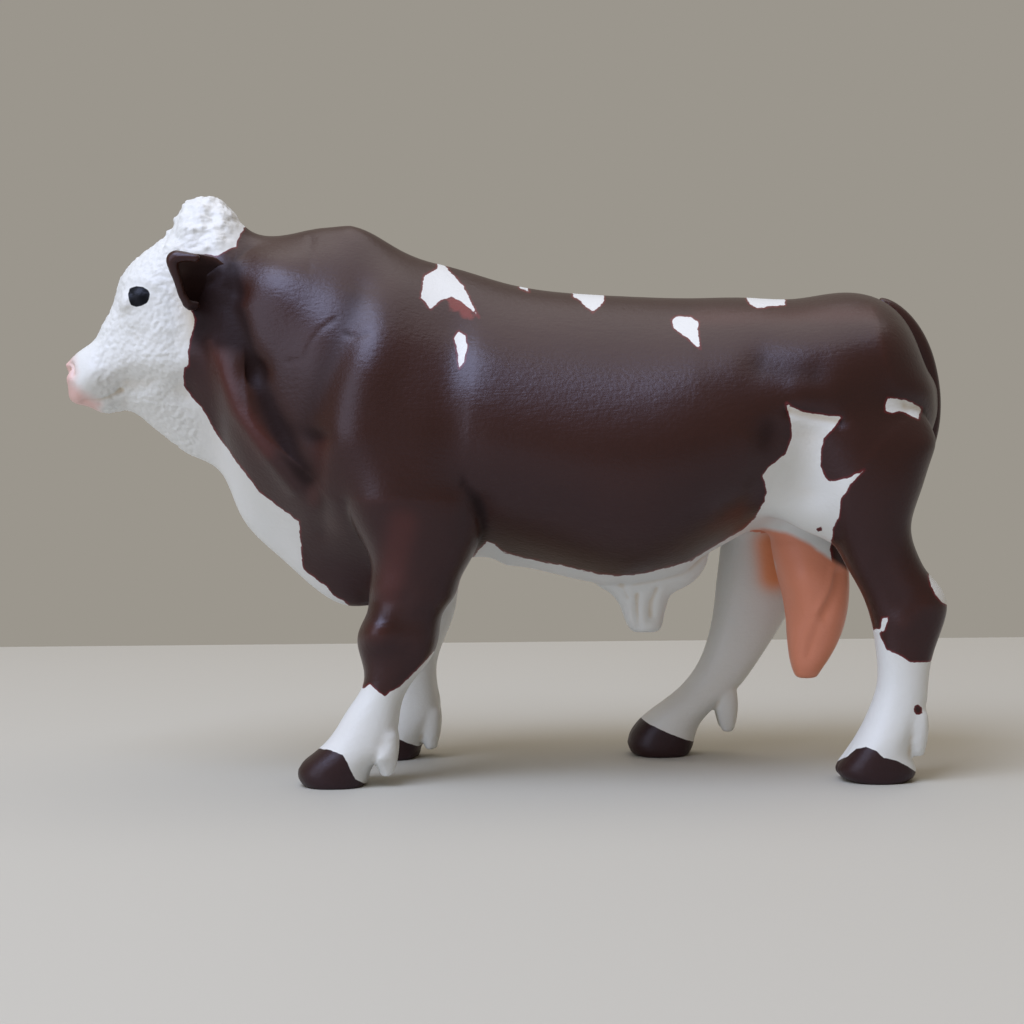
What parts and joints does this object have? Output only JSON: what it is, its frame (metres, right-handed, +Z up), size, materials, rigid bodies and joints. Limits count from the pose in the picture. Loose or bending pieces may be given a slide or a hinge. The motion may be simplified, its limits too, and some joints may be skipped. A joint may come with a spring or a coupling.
{
  "type": "cow figurine",
  "caption": "Painted moulded plastic bull standing in mid-stride: thick-walled body halves round a core, with plugged-in head, ears, legs, tail and underparts.",
  "frame": {"origin": "on the floor under the middle of the figure's outer box", "axes": "+Z up, nose towards -X, tail towards +X, the animal's left side towards -Y"},
  "size_m": [0.1349, 0.049, 0.0887],
  "materials": {
    "hide_brown": "soft plastic with satin brown paint",
    "hide_white": "soft plastic with satin off-white paint",
    "skin_pink": "soft plastic with sprayed pink paint",
    "core": "plain unpainted plastic, never seen"
  },
  "bodies": {
    "root": {"body_left": "hide_brown", "body_right": "hide_brown", "body_core": "core", "head": "hide_white", "ear_left": "hide_brown", "ear_right": "hide_brown", "foreleg_left": "hide_white", "foreleg_right": "hide_white", "hindleg_left": "hide_white", "hindleg_right": "hide_white", "tail": "hide_brown", "sheath": "hide_white", "scrotum": "skin_pink"}
  },
  "joints": []
}
